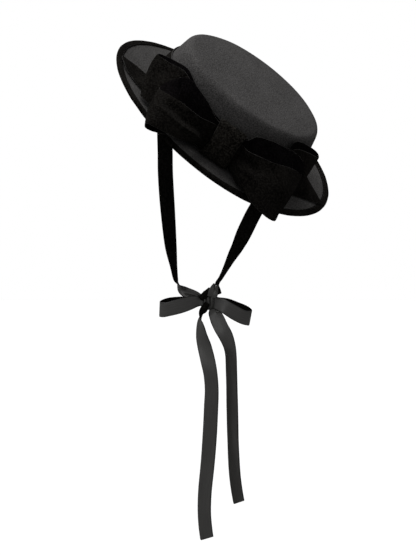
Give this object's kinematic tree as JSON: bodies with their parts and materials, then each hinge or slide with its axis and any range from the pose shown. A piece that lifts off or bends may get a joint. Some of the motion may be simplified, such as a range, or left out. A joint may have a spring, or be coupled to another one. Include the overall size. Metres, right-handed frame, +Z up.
{
  "type": "mini boater hat with chin ribbons",
  "caption": "Small tilted boater with a bound brim, a band, a big velvet bow at the front and narrow ribbons tied in a bow under the chin, with long hanging ends.",
  "frame": {"origin": "centre of the head opening, in the plane where the brim meets the crown", "axes": "+Z up as the hat is worn, with its ribbons hanging straight down; -Y to the wearer's front and +X to the viewer's right seen from the front. The crown's own axis leans 39 degrees towards +X and nods 25 degrees towards -Y."},
  "size_m": [0.2022, 0.2428, 0.4794],
  "materials": {
    "felt": "matt charcoal felt",
    "velvet": "black velvet",
    "ribbon_face": "black velvet ribbon, pile side",
    "ribbon_back": "grey satin back of the velvet ribbon"
  },
  "bodies": {
    "root": {"crown": "felt", "brim": "felt", "brim_binding": "velvet", "hat_band": "velvet", "bow_knot": "velvet", "bow_front_loop_left": "velvet", "bow_front_loop_right": "velvet", "bow_rear_loop_left": "velvet", "bow_rear_loop_right": "velvet", "bow_tail_left": "velvet", "bow_tail_right": "velvet", "tie_left": "ribbon_face", "tie_right": "ribbon_face", "chin_knot": "ribbon_back", "chin_loop_left": "ribbon_back", "chin_loop_right": "ribbon_back", "chin_tail_left": "ribbon_back", "chin_tail_right": "ribbon_back"}
  },
  "joints": []
}
